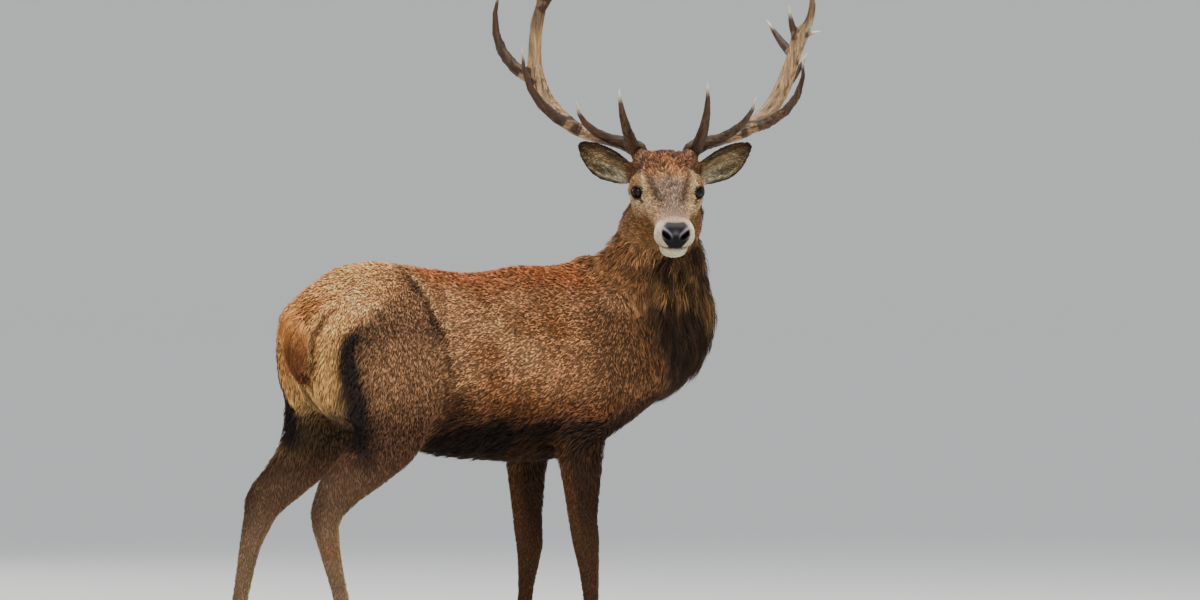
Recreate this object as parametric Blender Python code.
"""Red deer stag: a still, life-size model of a standing stag that looks back past its shoulder.

Metres, +Z up. The animal faces +X, its left side is +Y, and its head is turned to its right, so
the face looks towards -Y and a little back. Every size runs out to the tips of the coat.
The flesh is modelled whole from overlapping lofts, joined by a voxel remesh, and then parted by
thin cuts into head, neck, trunk and legs. The tail, ears, eyes, antlers and hooves are solids of
their own that meet it. At the end the whole animal is moved so that it stands over the origin.
"""
import math

import bmesh
import bpy
import numpy as np
from mathutils import Matrix, Vector

# ---------------------------------------------------------------- driving sizes
GAP = 0.0004            # clearance that two meeting solids keep
FLESH_VOXEL = 0.0075    # grid of the remesh that joins the flesh
SMOOTHING = 7           # passes that soften the joins of the lofts
HEAD_TRIANGLES = 7400   # of the whole flesh, from which only the head is kept
BODY_TRIANGLES = 1950

# The head: its centre lies between the eyes, its axis runs to the nose.
EYE_MIDPOINT = Vector((0.594, -0.185, 1.396))
HEAD_TURN = math.radians(-113.3)     # heading of the face, measured from +X
HEAD_PITCH = math.radians(27)        # the face is carried nose down
EYE_AHEAD = 0.008                    # eyeballs' centres, along the head's axis
EYE_OFFSET = 0.0875                  # from the midplane to each eyeball's centre
EYE_RADIUS = 0.0200

EAR_HALF_WIDTH = 0.053
EAR_THICKNESS = 0.011

# Hooves: two claws side by side on each foot, with two dewclaws behind the fetlock.
CLAW_LENGTH = 0.086
CLAW_WIDTH = 0.036
CLEFT = 0.0045          # half the slit between the claws
CORONET_HEIGHT = 0.043  # where skin ends and horn begins, at the middle of the foot
CORONET_SLOPE = 0.34    # the coronet rises towards the toe
SOLE_BEVEL = 0.003

# Colours, as linear red, green and blue
FLANK_BROWN = (0.26, 0.13, 0.07)
MANE_BROWN = (0.14, 0.07, 0.035)
LEG_BROWN = (0.09, 0.055, 0.035)
FACE_TAN = (0.30, 0.20, 0.12)
TAIL_RUST = (0.40, 0.18, 0.06)
ANTLER_BONE = (0.32, 0.21, 0.12)
HORN_BLACK = (0.02, 0.017, 0.015)
EYE_DARK = (0.012, 0.008, 0.006)

# ---------------------------------------------------------------- body stations
# Trunk, tail end to chest: (x, top, underside, half width, narrowing of the back)
TRUNK = (
    (-0.545, 0.990, 0.900, 0.090, 0.00),
    (-0.528, 1.035, 0.830, 0.135, 0.05),
    (-0.480, 1.090, 0.760, 0.155, 0.12),
    (-0.390, 1.152, 0.700, 0.170, 0.18),
    (-0.280, 1.184, 0.655, 0.174, 0.22),
    (-0.130, 1.170, 0.620, 0.172, 0.22),
    (0.020, 1.156, 0.600, 0.190, 0.18),
    (0.180, 1.162, 0.592, 0.200, 0.20),
    (0.320, 1.184, 0.600, 0.196, 0.30),
    (0.440, 1.204, 0.632, 0.182, 0.40),
    (0.560, 1.170, 0.705, 0.160, 0.30),
    (0.660, 1.120, 0.780, 0.130, 0.10),
    (0.745, 1.060, 0.850, 0.080, 0.00),
)

# Neck with its mane, shoulders to skull: (x, y, z, radius front to back, radius sideways)
NECK = (
    (0.450, 0.000, 0.960, 0.200, 0.168),
    (0.570, 0.000, 1.010, 0.212, 0.168),
    (0.625, -0.002, 1.090, 0.196, 0.160),
    (0.656, -0.004, 1.180, 0.172, 0.150),
    (0.668, -0.006, 1.270, 0.141, 0.134),
    (0.684, -0.006, 1.340, 0.119, 0.116),
    (0.681, -0.018, 1.398, 0.104, 0.102),
    (0.668, -0.040, 1.440, 0.080, 0.084),
    (0.648, -0.074, 1.460, 0.050, 0.060),
)
# The deep front of the mane: centre and radii of an egg
MANE_CENTRE = (0.648, -0.010, 1.040)
MANE_RADII = (0.190, 0.158, 0.235)

# Head, nape to nose, in the head's own frame: (along, half width, top, underside)
HEAD = (
    (-0.175, 0.062, 0.052, -0.070),
    (-0.140, 0.082, 0.084, -0.095),
    (-0.100, 0.092, 0.094, -0.110),
    (-0.055, 0.104, 0.080, -0.122),
    (-0.018, 0.107, 0.065, -0.124),
    (0.022, 0.095, 0.053, -0.121),
    (0.060, 0.079, 0.044, -0.116),
    (0.105, 0.067, 0.037, -0.109),
    (0.150, 0.059, 0.030, -0.101),
    (0.195, 0.058, 0.027, -0.096),
    (0.235, 0.062, 0.025, -0.092),
    (0.265, 0.058, 0.018, -0.084),
    (0.286, 0.046, 0.004, -0.064),
)
# Rounded forms on the head: (along, sideways, up, radius along, radius sideways, radius up)
BROW = (-0.008, 0.082, 0.028, 0.040, 0.026, 0.019)
CHEEK = (-0.045, 0.066, -0.055, 0.068, 0.041, 0.060)
FOREHEAD = (-0.088, 0.000, 0.056, 0.062, 0.074, 0.043)
PEDICLE = (-0.108, 0.070, 0.060, 0.032, 0.030, 0.036)
NOSTRIL_WING = (0.262, 0.028, -0.010, 0.026, 0.024, 0.026)
CHIN = (0.238, 0.000, -0.078, 0.036, 0.043, 0.023)

# Legs: (x, y, z, radius fore and aft, radius sideways) for the right legs, y given positive
HIND_RIGHT = (
    (-0.345, 0.088, 1.085, 0.060, 0.030),
    (-0.345, 0.100, 1.010, 0.145, 0.066),
    (-0.330, 0.112, 0.880, 0.190, 0.082),
    (-0.300, 0.126, 0.760, 0.165, 0.078),
    (-0.305, 0.132, 0.670, 0.118, 0.070),
    (-0.355, 0.133, 0.600, 0.085, 0.060),
    (-0.430, 0.131, 0.535, 0.070, 0.048),
    (-0.480, 0.129, 0.480, 0.062, 0.041),
    (-0.492, 0.127, 0.415, 0.045, 0.035),
    (-0.478, 0.125, 0.340, 0.034, 0.029),
    (-0.450, 0.123, 0.240, 0.027, 0.025),
    (-0.432, 0.121, 0.160, 0.027, 0.026),
    (-0.416, 0.120, 0.105, 0.034, 0.031),
    (-0.398, 0.120, 0.065, 0.030, 0.031),
    (-0.384, 0.120, 0.025, 0.038, 0.037),
)
HIND_LEFT = (
    (-0.345, 0.088, 1.085, 0.060, 0.030),
    (-0.345, 0.100, 1.010, 0.145, 0.066),
    (-0.345, 0.112, 0.880, 0.186, 0.082),
    (-0.355, 0.126, 0.760, 0.178, 0.078),
    (-0.398, 0.132, 0.675, 0.134, 0.070),
    (-0.450, 0.133, 0.605, 0.092, 0.060),
    (-0.515, 0.131, 0.535, 0.072, 0.048),
    (-0.573, 0.129, 0.475, 0.060, 0.041),
    (-0.600, 0.127, 0.410, 0.045, 0.035),
    (-0.622, 0.125, 0.340, 0.034, 0.029),
    (-0.643, 0.123, 0.240, 0.027, 0.025),
    (-0.658, 0.121, 0.160, 0.027, 0.026),
    (-0.664, 0.120, 0.105, 0.034, 0.031),
    (-0.652, 0.120, 0.065, 0.030, 0.031),
    (-0.640, 0.120, 0.025, 0.038, 0.037),
)
FORE_RIGHT = (
    (0.415, 0.095, 1.070, 0.050, 0.030),
    (0.402, 0.112, 0.980, 0.092, 0.060),
    (0.385, 0.132, 0.840, 0.115, 0.070),
    (0.345, 0.138, 0.730, 0.098, 0.062),
    (0.328, 0.136, 0.620, 0.076, 0.054),
    (0.334, 0.132, 0.510, 0.060, 0.046),
    (0.340, 0.129, 0.420, 0.047, 0.041),
    (0.350, 0.127, 0.355, 0.044, 0.040),
    (0.360, 0.125, 0.285, 0.034, 0.032),
    (0.368, 0.123, 0.200, 0.027, 0.026),
    (0.374, 0.121, 0.145, 0.027, 0.026),
    (0.381, 0.120, 0.105, 0.033, 0.031),
    (0.396, 0.120, 0.065, 0.029, 0.031),
    (0.406, 0.120, 0.025, 0.038, 0.037),
)
FORE_LEFT = (
    (0.415, 0.095, 1.070, 0.050, 0.030),
    (0.402, 0.112, 0.980, 0.092, 0.060),
    (0.365, 0.132, 0.840, 0.115, 0.070),
    (0.315, 0.138, 0.730, 0.098, 0.062),
    (0.286, 0.134, 0.610, 0.072, 0.054),
    (0.284, 0.130, 0.500, 0.057, 0.046),
    (0.286, 0.127, 0.410, 0.048, 0.041),
    (0.290, 0.125, 0.350, 0.046, 0.040),
    (0.286, 0.123, 0.285, 0.035, 0.032),
    (0.276, 0.122, 0.205, 0.026, 0.026),
    (0.270, 0.121, 0.145, 0.027, 0.026),
    (0.272, 0.120, 0.105, 0.033, 0.031),
    (0.286, 0.120, 0.065, 0.029, 0.031),
    (0.296, 0.120, 0.025, 0.038, 0.037),
)
# Point of the hock and the tendon above it: offset from the hock station and radius
TENDON = ((0.022, 0.075, 0.024), (-0.030, 0.040, 0.024), (-0.048, 0.012, 0.023), (-0.030, -0.040, 0.022))
HOCK_STATION = 7

# Buttock and shoulder, as eggs: centre (y positive) and radii
BUTTOCK = ((-0.442, 0.092, 0.895), (0.112, 0.086, 0.178))
SHOULDER = ((0.440, 0.118, 0.920), (0.125, 0.076, 0.200))

TAIL = (
    (-0.450, -0.010, 1.035, 0.028, 0.034),
    (-0.512, -0.030, 1.012, 0.032, 0.039),
    (-0.546, -0.055, 0.965, 0.036, 0.043),
    (-0.560, -0.072, 0.915, 0.036, 0.042),
    (-0.562, -0.084, 0.868, 0.029, 0.033),
    (-0.558, -0.090, 0.836, 0.013, 0.015),
    (-0.556, -0.092, 0.820, 0.004, 0.005),
)

# ---------------------------------------------------------------- antlers
# Places are (outwards from the midplane, ahead of the eyes, height above the floor).
# The beam rows add the radius there.
BEAM = {
    "right": (
        (0.071, -0.070, 1.488, 0.028), (0.080, -0.086, 1.526, 0.028), (0.124, -0.116, 1.551, 0.022),
        (0.190, -0.160, 1.569, 0.018), (0.262, -0.208, 1.602, 0.022), (0.338, -0.250, 1.676, 0.025),
        (0.376, -0.268, 1.765, 0.026), (0.379, -0.270, 1.842, 0.021), (0.374, -0.262, 1.920, 0.020),
        (0.360, -0.250, 1.984, 0.017), (0.366, -0.240, 2.040, 0.013), (0.380, -0.230, 2.090, 0.004),
    ),
    "left": (
        (0.071, -0.070, 1.488, 0.028), (0.080, -0.086, 1.526, 0.028), (0.124, -0.116, 1.551, 0.022),
        (0.190, -0.160, 1.569, 0.018), (0.258, -0.208, 1.595, 0.021), (0.329, -0.250, 1.654, 0.025),
        (0.370, -0.268, 1.712, 0.026), (0.398, -0.270, 1.780, 0.024), (0.418, -0.268, 1.840, 0.022),
        (0.432, -0.262, 1.888, 0.027), (0.458, -0.255, 1.930, 0.015), (0.470, -0.248, 1.985, 0.011),
        (0.462, -0.242, 2.045, 0.004),
    ),
}
# A tine: root on the beam's line, bend, tip, and its radius at the root
TINES = {
    "right": {
        "brow": ((0.088, -0.080, 1.526), (0.142, 0.050, 1.590), (0.150, 0.052, 1.700), 0.020),
        "bez": ((0.112, -0.105, 1.546), (0.262, -0.070, 1.575), (0.271, -0.030, 1.668), 0.018),
        "trez": ((0.262, -0.190, 1.600), (0.428, -0.150, 1.665), (0.428, -0.120, 1.840), 0.019),
        "outer": ((0.385, -0.270, 1.752), (0.540, -0.330, 1.840), (0.484, -0.300, 2.034), 0.021),
        "crown_inner": ((0.362, -0.252, 1.960), (0.330, -0.215, 2.000), (0.305, -0.190, 2.062), 0.013),
    },
    "left": {
        "brow": ((0.088, -0.080, 1.526), (0.124, 0.040, 1.590), (0.115, 0.050, 1.724), 0.020),
        "bez": ((0.112, -0.105, 1.546), (0.258, -0.070, 1.580), (0.270, -0.030, 1.686), 0.018),
        "trez": ((0.250, -0.195, 1.594), (0.452, -0.150, 1.640), (0.423, -0.120, 1.822), 0.019),
        "outer": ((0.416, -0.275, 1.830), (0.380, -0.340, 1.880), (0.342, -0.360, 1.952), 0.017),
        "rear": ((0.400, -0.280, 1.750), (0.436, -0.350, 1.780), (0.470, -0.360, 1.852), 0.014),
        "crown_inner": ((0.428, -0.262, 1.872), (0.402, -0.250, 1.920), (0.396, -0.240, 1.985), 0.015),
        "crown_outer": ((0.440, -0.258, 1.896), (0.474, -0.250, 1.898), (0.496, -0.245, 1.906), 0.010),
    },
}


# ---------------------------------------------------------------- tools
def head_frame():
    """Matrix of the head: x along the face to the nose, y to the animal's left, z up out of it."""
    turn = Matrix.Rotation(HEAD_TURN, 4, "Z")
    pitch = Matrix.Rotation(HEAD_PITCH, 4, "Y")
    return Matrix.Translation(EYE_MIDPOINT) @ turn @ pitch


def antler_point(outwards, ahead, height, side):
    """World place of an antler point; side is +1 for the stag's left antler."""
    level = Matrix.Rotation(HEAD_TURN, 4, "Z") @ Vector((ahead, side * outwards, 0))
    return Vector((EYE_MIDPOINT.x + level.x, EYE_MIDPOINT.y + level.y, height))


def smooth_rows(rows, steps):
    """Rows of numbers with a Catmull-Rom curve read through them, steps spans between two rows."""
    rows = np.array(rows, dtype=float)
    ends = np.vstack([2 * rows[0] - rows[1], rows, 2 * rows[-1] - rows[-2]])
    result = []
    for i in range(1, len(ends) - 2):
        p0, p1, p2, p3 = ends[i - 1 : i + 3]
        for t in np.arange(steps) / steps:
            bend = (p2 - p0) * t + (2 * p0 - 5 * p1 + 4 * p2 - p3) * t**2
            result.append(p1 + 0.5 * (bend + (3 * p1 - p0 - 3 * p2 + p3) * t**3))
    result.append(rows[-1])
    return np.array(result)


def new_object(name, bm):
    """Object with the given mesh, its faces turned to look outwards."""
    mesh = bpy.data.meshes.new(name)
    bmesh.ops.recalc_face_normals(bm, faces=bm.faces)
    bm.to_mesh(mesh)
    bm.free()
    obj = bpy.data.objects.new(name, mesh)
    bpy.context.scene.collection.objects.link(obj)
    return obj


def loft(name, rings, crescents=False):
    """Closed solid through rings of equal point count; a crescent's ends are closed by a strip."""
    bm = bmesh.new()
    loops = [[bm.verts.new(point) for point in ring] for ring in rings]
    for low, high in zip(loops, loops[1:]):
        for i in range(len(low)):
            j = (i + 1) % len(low)
            bm.faces.new((low[i], low[j], high[j], high[i]))
    for ring in (loops[0], loops[-1]):
        if crescents:
            for i in range(len(ring) // 2 - 1):
                bm.faces.new((ring[i], ring[i + 1], ring[-2 - i], ring[-1 - i]))
        else:
            bm.faces.new(ring)
    bmesh.ops.triangulate(bm, faces=bm.faces[:])
    return new_object(name, bm)


def tube(name, rows, steps=3, sides=18):
    """Loft of ellipses square to the path of rows (x, y, z, radius fore and aft, radius sideways)."""
    rows = smooth_rows(rows, steps)
    rings = []
    for i, row in enumerate(rows):
        ahead = Vector(rows[min(i + 1, len(rows) - 1)][:3] - rows[max(i - 1, 0)][:3]).normalized()
        sideways = (Vector((0, 1, 0)) - ahead * ahead.y).normalized()
        across = ahead.cross(sideways)
        ring = []
        for angle in np.arange(sides) * 2 * math.pi / sides:
            offset = across * row[3] * math.cos(angle) + sideways * row[4] * math.sin(angle)
            ring.append(Vector(row[:3]) + offset)
        rings.append(ring)
    return loft(name, rings)


def round_tube(name, rows, sides):
    """Loft of circles along rows (x, y, z, radius) that carries its ring from row to row."""
    rings = []
    sideways = Vector((0, 0, 1))
    for i, row in enumerate(rows):
        ahead = Vector(rows[min(i + 1, len(rows) - 1)][:3] - rows[max(i - 1, 0)][:3]).normalized()
        sideways = (sideways - ahead * sideways.dot(ahead)).normalized()
        across = ahead.cross(sideways)
        angles = np.arange(sides) * 2 * math.pi / sides
        centre = Vector(row[:3])
        rings.append([centre + (across * math.cos(a) + sideways * math.sin(a)) * row[3] for a in angles])
    return loft(name, rings)


def egg(name, centre, radii, frame=Matrix.Identity(4), segments=16):
    """Ellipsoid with its axes along the frame's."""
    bm = bmesh.new()
    shape = frame @ Matrix.Translation(centre) @ Matrix.Diagonal((*radii, 1))
    bmesh.ops.create_uvsphere(bm, u_segments=segments, v_segments=segments // 2, radius=1, matrix=shape)
    return new_object(name, bm)


def prism(name, outline, half_width, frame=Matrix.Identity(4)):
    """Block with an outline in its own XZ plane, reaching half_width to both sides."""
    rings = [[frame @ Vector((x, side * half_width, z)) for x, z in outline] for side in (-1, 1)]
    return loft(name, rings)


def evaluated(obj):
    """Replaces the object's mesh with what its modifiers give."""
    graph = bpy.context.evaluated_depsgraph_get()
    mesh = bpy.data.meshes.new_from_object(obj.evaluated_get(graph), depsgraph=graph)
    obj.modifiers.clear()
    obj.data = mesh
    return obj


def copy_of(obj, name):
    twin = bpy.data.objects.new(name, obj.data.copy())
    bpy.context.scene.collection.objects.link(twin)
    return twin


def join(name, objects):
    """One object that holds all the objects' meshes; they may still pass through each other."""
    bm = bmesh.new()
    for obj in objects:
        bm.from_mesh(obj.data)
        bpy.data.objects.remove(obj)
    return new_object(name, bm)


def grown(obj, distance):
    """Copy with every point moved out along its normal, for a cut that leaves a gap."""
    twin = copy_of(obj, obj.name + "_grown")
    bm = bmesh.new()
    bm.from_mesh(twin.data)
    bm.normal_update()
    normals = [vert.normal.copy() for vert in bm.verts]
    for vert, normal in zip(bm.verts, normals):
        vert.co += normal * distance * vert.calc_shell_factor()
    bm.to_mesh(twin.data)
    bm.free()
    return twin


def boolean(obj, cutter, operation):
    modifier = obj.modifiers.new(operation, "BOOLEAN")
    modifier.operation = operation
    modifier.solver = "EXACT"
    modifier.object = cutter
    return evaluated(obj)


def keep_largest(obj):
    """Drops the crumbs that a cut can leave, so that the solid is one body."""
    bm = bmesh.new()
    bm.from_mesh(obj.data)
    unseen = set(bm.verts)
    bodies = []
    while unseen:
        body, edge = set(), [unseen.pop()]
        while edge:
            vert = edge.pop()
            body.add(vert)
            near = {link.other_vert(vert) for link in vert.link_edges} & unseen
            unseen -= near
            edge.extend(near)
        bodies.append(body)
    largest = max(bodies, key=len)
    bmesh.ops.delete(bm, geom=[v for body in bodies if body is not largest for v in body], context="VERTS")
    bm.to_mesh(obj.data)
    bm.free()
    return obj


def cut_away(obj, cutter):
    """Takes the cutter's shape, grown by the gap, out of the object."""
    wide = grown(cutter, GAP)
    boolean(obj, wide, "DIFFERENCE")
    bpy.data.objects.remove(wide)
    return keep_largest(obj)


def common_part(obj, region, name):
    """Copy of what lies inside the region."""
    part = boolean(copy_of(obj, name), region, "INTERSECT")
    return keep_largest(part)


def part_off(obj, region, name):
    """Moves what lies inside the region into an object of its own, with a thin cut between."""
    part = common_part(obj, region, name)
    cut_away(obj, region)
    bpy.data.objects.remove(region)
    return part


def half(obj, point, normal, name):
    """Copy of the part of the object ahead of a plane, its cut face closed."""
    part = copy_of(obj, name)
    bm = bmesh.new()
    bm.from_mesh(part.data)
    geometry = bm.verts[:] + bm.edges[:] + bm.faces[:]
    point = Vector(point) + Vector(normal).normalized() * GAP / 2
    bmesh.ops.bisect_plane(bm, geom=geometry, plane_co=point, plane_no=normal, clear_inner=True)
    bmesh.ops.holes_fill(bm, edges=[edge for edge in bm.edges if edge.is_boundary])
    bmesh.ops.triangulate(bm, faces=[face for face in bm.faces if len(face.verts) > 4])
    bmesh.ops.recalc_face_normals(bm, faces=bm.faces)
    bm.to_mesh(part.data)
    bm.free()
    return keep_largest(part)


def split(obj, point, normal, ahead_name, behind_name):
    """Cuts the object in two at a plane."""
    ahead = half(obj, point, Vector(normal), ahead_name)
    behind = half(obj, point, -Vector(normal), behind_name)
    bpy.data.objects.remove(obj)
    return ahead, behind


def decimated(obj, triangles):
    """Lowers the mesh to about this many triangles."""
    count = sum(len(polygon.vertices) - 2 for polygon in obj.data.polygons)
    modifier = obj.modifiers.new("fewer faces", "DECIMATE")
    modifier.ratio = min(1.0, triangles / count)
    modifier.use_collapse_triangulate = True
    return evaluated(obj)


# ---------------------------------------------------------------- flesh
def trunk_shape(sides=28):
    """Barrel through the trunk's stations, narrower over the back than at the flanks."""
    rings = []
    for x, top, underside, half_width, narrowing in smooth_rows(TRUNK, 3):
        middle = underside + 0.47 * (top - underside)
        ring = []
        for angle in np.arange(sides) * 2 * math.pi / sides:
            rise = math.sin(angle)
            reach = top - middle if rise > 0 else middle - underside
            width = half_width * (1 - narrowing * max(rise, 0.0) ** 1.5)
            ring.append(Vector((x, width * math.cos(angle), middle + reach * rise)))
        rings.append(ring)
    return loft("trunk shape", rings)


def head_shape(frame, sides=24):
    """Skull and muzzle, with the eggs that round out brow, cheek, forehead, nostrils and chin."""
    rings = []
    for along, half_width, top, underside in smooth_rows(HEAD, 3):
        middle = underside + 0.56 * (top - underside)
        ring = []
        for angle in np.arange(sides) * 2 * math.pi / sides:
            rise = math.sin(angle)
            reach = top - middle if rise > 0 else middle - underside
            width = half_width * (1 - 0.42 * max(-rise, 0.0) ** 1.2)
            round_off = abs(math.cos(angle)) ** 0.85 * math.copysign(1, math.cos(angle))
            ring.append(frame @ Vector((along, width * round_off, middle + reach * rise)))
        rings.append(ring)
    pieces = [loft("head shape", rings)]
    for form in (BROW, CHEEK, FOREHEAD, PEDICLE, NOSTRIL_WING, CHIN):
        for side in (-1, 1) if form[1] else (1,):
            centre = Vector((form[0], side * form[1], form[2]))
            pieces.append(egg("form", centre, form[3:], frame))
    return pieces


def leg_shape(stations, side, hind):
    """One leg, hip or shoulder to hoof, and on a hind leg the tendon and the point of the hock."""
    rows = [(x, side * y, z, long, wide) for x, y, z, long, wide in stations]
    pieces = [tube("leg shape", rows)]
    if hind:
        x, y, z = rows[HOCK_STATION][:3]
        tendon = [(x + dx, y, z + dz, radius, radius * 0.8) for dx, dz, radius in TENDON]
        pieces.append(tube("tendon", tendon))
    return pieces


def whole_flesh(frame):
    """Head, neck, trunk and legs as one closed, softened skin."""
    pieces = [trunk_shape(), tube("neck shape", NECK, sides=24)]
    pieces.append(egg("mane", Vector(MANE_CENTRE), MANE_RADII))
    pieces += head_shape(frame)
    for side in (-1, 1):
        for (x, y, z), radii in (BUTTOCK, SHOULDER):
            pieces.append(egg("muscle", Vector((x, side * y, z)), radii))
    pieces += leg_shape(HIND_RIGHT, -1, True) + leg_shape(HIND_LEFT, 1, True)
    pieces += leg_shape(FORE_RIGHT, -1, False) + leg_shape(FORE_LEFT, 1, False)
    flesh = join("flesh", pieces)
    remesh = flesh.modifiers.new("join", "REMESH")
    remesh.mode = "VOXEL"
    remesh.voxel_size = FLESH_VOXEL
    soften = flesh.modifiers.new("soften", "SMOOTH")
    soften.iterations = SMOOTHING
    soften.factor = 0.5
    return evaluated(flesh)


def sleeve(stations, side, top, widen):
    """Room around a leg, domed over its root, that marks where the leg ends and the trunk begins."""
    rows = []
    for x, y, z, long, wide in stations:
        if z < top:
            rows.append((x, side * (y + 0.030), z, long + widen, wide + 0.042))
    rows = rows[::2] + rows[-1:]
    x, y, z, long, wide = rows[0]
    dome = [(x, y, z + 0.085 * math.sin(a), long * math.cos(a), wide * math.cos(a)) for a in (1.4, 0.75)]
    x, y, z, long, wide = rows[-1]
    return tube("sleeve", dome + rows + [(x, y, z - 0.08, long, wide)], steps=1, sides=12)


# ---------------------------------------------------------------- head furniture
def ear(frame, side, name):
    """Leaf-shaped cup that opens forwards: crescents from root to tip."""
    root = Vector((-0.100, side * 0.078, -0.002))
    tip = Vector((-0.132, side * 0.260, 0.100))
    axis = (tip - root).normalized()
    forwards = Vector((1, 0, 0))
    forwards = (forwards - axis * forwards.dot(axis)).normalized()
    upwards = (axis.cross(forwards) * -side).normalized()
    profile = smooth_rows(
        ((0.0, 0.40), (0.22, 0.76), (0.46, 1.00), (0.68, 0.92), (0.88, 0.58), (1.0, 0.18)), 2)
    rings = []
    for along, fullness in profile:
        centre = root.lerp(tip, along) + upwards * -0.012 * math.sin(math.pi * along)
        half_width = EAR_HALF_WIDTH * fullness
        depth = half_width * (1.05 - 0.75 * along)
        thickness = EAR_THICKNESS * (1.0 - 0.45 * along)
        back, front = [], []
        for angle in np.linspace(-1.0, 1.0, 6):
            across = upwards * half_width * angle
            hollow = forwards * -depth * (1 - angle**2)
            rim = 0.30 + 0.70 * (1 - angle**4)
            back.append(centre + across + hollow - forwards * thickness * 0.5 * rim)
            front.append(centre + across * 0.94 + hollow + forwards * thickness * 0.5 * rim)
        rings.append([frame @ point for point in back + front[::-1]])
    return loft(name, rings, crescents=True)


def beam(side, which):
    """An antler's main stem, from its coronet to its top point."""
    rows = []
    for outwards, ahead, height, radius in BEAM[which]:
        rows.append((*antler_point(outwards, ahead, height, side), radius))
    return round_tube("beam shape", smooth_rows(rows, 2), sides=8)


def tine(side, which, kind):
    """Curved spike: a bent line from the beam to its tip, thinning to a blunt point."""
    root, bend, tip, radius = TINES[which][kind]
    start, middle, end = (antler_point(*place, side) for place in (root, bend, tip))
    rows = []
    for t in np.linspace(0, 1, 6):
        place = start * (1 - t) ** 2 + middle * 2 * t * (1 - t) + end * t**2
        rows.append((*place, radius * (1 - 0.86 * t**1.6)))
    return round_tube("tine shape", np.array(rows), sides=7)


# ---------------------------------------------------------------- feet
def coronet_level(x):
    """Height of the skin's lower edge at x ahead of the foot's middle."""
    return CORONET_HEIGHT + CORONET_SLOPE * x


def claw(name, foot, outer):
    """One half of a cloven hoof, with a flat sole; outer is -1 for the right claw, +1 for the left."""
    def outline(length, width, shift, height):
        ring = []
        for angle in np.arange(10) * math.pi / 5:
            x = shift + length / 2 * math.cos(angle)
            y = width / 2 * math.sin(angle) * (1 - 0.30 * math.cos(angle)) + width / 2 + CLEFT
            y = max(y, CLEFT)
            z = coronet_level(x) - GAP if height is None else height
            ring.append(Vector((foot.x + x, foot.y + outer * y, z)))
        return ring

    rings = [
        outline(CLAW_LENGTH - SOLE_BEVEL, CLAW_WIDTH - SOLE_BEVEL, 0.010, 0.0),
        outline(CLAW_LENGTH, CLAW_WIDTH, 0.009, SOLE_BEVEL),
        outline(CLAW_LENGTH * 0.80, CLAW_WIDTH * 0.93, -0.002, None),
    ]
    return loft(name, rings)


def dewclaw(name, fetlock, outer):
    """Small horn spur behind and below the fetlock."""
    centre = fetlock + Vector((-0.030, outer * 0.019, -0.024))
    lean = Matrix.Translation(centre) @ Matrix.Rotation(math.radians(20), 4, "Y")
    bm = bmesh.new()
    shape = lean @ Matrix.Diagonal((0.011, 0.0095, 0.019, 1))
    bmesh.ops.create_uvsphere(bm, u_segments=6, v_segments=4, radius=1, matrix=shape)
    return new_object(name, bm)


# ---------------------------------------------------------------- materials
def finish(obj, colour, roughness, smooth_angle=50):
    """Principled material of the node's own, and smooth shading between its sharp edges."""
    material = bpy.data.materials.new(obj.name + " surface")
    material.use_nodes = True
    shader = material.node_tree.nodes["Principled BSDF"]
    shader.inputs["Base Color"].default_value = (*colour, 1)
    shader.inputs["Roughness"].default_value = roughness
    shader.inputs["Metallic"].default_value = 0
    obj.data.materials.clear()
    obj.data.materials.append(material)
    obj.data.shade_smooth()
    obj.data.set_sharp_from_angle(angle=math.radians(smooth_angle))


# ---------------------------------------------------------------- assembly
def build_legs(body):
    """Parts the legs off the body; returns the leg solids by name."""
    legs = {}
    plans = (
        ("hind_right", HIND_RIGHT, -1, 0.90, 0.026, (-0.500, 0.425)),
        ("hind_left", HIND_LEFT, 1, 0.90, 0.026, (-0.600, 0.420)),
        ("fore_right", FORE_RIGHT, -1, 0.70, 0.030, (0.350, 0.330)),
        ("fore_left", FORE_LEFT, 1, 0.70, 0.030, (0.290, 0.325)),
    )
    for name, stations, side, top, widen, (cut_x, cut_z) in plans:
        leg = part_off(body, sleeve(stations, side, top, widen), name)
        ahead = Vector((0.05 if "fore" in name else 0.25, 0, 1))
        upper, lower = split(leg, (cut_x, 0, cut_z), ahead, name + "_upper", name + "_lower")
        foot = Vector((stations[-1][0], side * stations[-1][1], 0))
        level = Vector((-CORONET_SLOPE, 0, 1))
        shank = half(lower, (foot.x, foot.y, CORONET_HEIGHT), level, "shank")
        lower.data = shank.data
        bpy.data.objects.remove(shank)
        fetlock = Vector((stations[-3][0], side * stations[-3][1], stations[-3][2]))
        legs[name] = (upper, lower, foot, fetlock)
    return legs


def build_feet(legs):
    """Two claws and two dewclaws for each leg."""
    for name, (upper, lower, foot, fetlock) in legs.items():
        for outer, place in ((-1, "right"), (1, "left")):
            finish(claw(f"{name}_claw_{place}", foot, outer), HORN_BLACK, 0.45, 40)
            spur = cut_away(dewclaw(f"{name}_dewclaw_{place}", fetlock, outer), lower)
            finish(spur, HORN_BLACK, 0.45)
        finish(upper, LEG_BROWN, 0.9)
        finish(lower, LEG_BROWN, 0.9)


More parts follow.
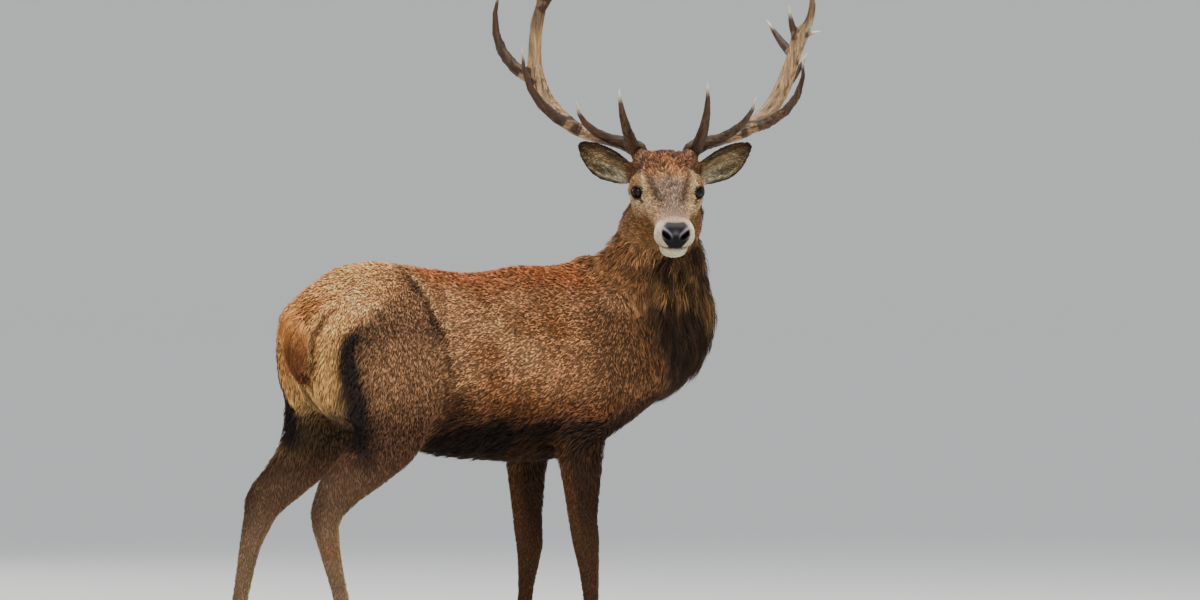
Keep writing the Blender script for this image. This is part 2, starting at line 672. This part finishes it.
def build_antlers(head):
    """Beam and tines of both antlers, each cut clear of the head and of the pieces before it."""
    for which, side in (("right", -1), ("left", 1)):
        shapes = []
        for kind in ("beam", *TINES[which]):
            shape = beam(side, which) if kind == "beam" else tine(side, which, kind)
            solid = cut_away(copy_of(shape, f"antler_{which}_{kind}"), head)
            for earlier in shapes:
                cut_away(solid, earlier)
            shapes.append(shape)
            finish(solid, ANTLER_BONE, 0.55)
        cut_away(bpy.data.objects[f"ear_{which}"], shapes[0])
        for shape in shapes:
            bpy.data.objects.remove(shape)


def build_head(head, frame):
    """Ears, antlers and eyes, and the sockets that the eyes sit in."""
    for name, side in (("right", -1), ("left", 1)):
        finish(cut_away(ear(frame, side, f"ear_{name}"), head), FACE_TAN, 0.9)
    build_antlers(head)
    for name, side in (("right", -1), ("left", 1)):
        eye = egg(f"eye_{name}", Vector((EYE_AHEAD, side * EYE_OFFSET, 0)), (EYE_RADIUS,) * 3, frame)
        finish(eye, EYE_DARK, 0.05)
        cut_away(head, eye)


def stand_over_origin():
    """Moves the animal so that its bounding box stands centred on the origin."""
    solids = [obj for obj in bpy.context.scene.objects if obj.type == "MESH"]
    points = np.array([vert.co for obj in solids for vert in obj.data.vertices])
    low, high = points.min(axis=0), points.max(axis=0)
    move = Matrix.Translation((-(low[0] + high[0]) / 2, -(low[1] + high[1]) / 2, -low[2]))
    for obj in solids:
        obj.data.transform(move)


def main():
    for obj in list(bpy.data.objects):
        bpy.data.objects.remove(obj)
    frame = head_frame()
    flesh = whole_flesh(frame)
    fine = decimated(copy_of(flesh, "fine flesh"), HEAD_TRIANGLES)
    body = decimated(flesh, BODY_TRIANGLES)

    # the cut behind the jaw and the ears, in the head's frame
    head_room = ((-0.21, 0.30), (-0.185, 0.06), (-0.072, -0.118), (0.05, -0.138), (0.45, -0.20), (0.45, 0.30))
    room = prism("head room", head_room, 0.125, frame)
    head = common_part(fine, room, "head")
    bpy.data.objects.remove(fine)
    cut_away(body, room)
    bpy.data.objects.remove(room)
    build_head(head, frame)

    legs = build_legs(body)
    build_feet(legs)
    neck, trunk = split(body, (0.440, 0, 1.230), (0.47, 0, 0.30), "neck", "trunk")
    tail = cut_away(tube("tail", TAIL, steps=1, sides=12), trunk)

    finish(head, FACE_TAN, 0.9)
    finish(neck, MANE_BROWN, 0.9)
    finish(trunk, FLANK_BROWN, 0.9)
    finish(tail, TAIL_RUST, 0.9)
    stand_over_origin()


main()
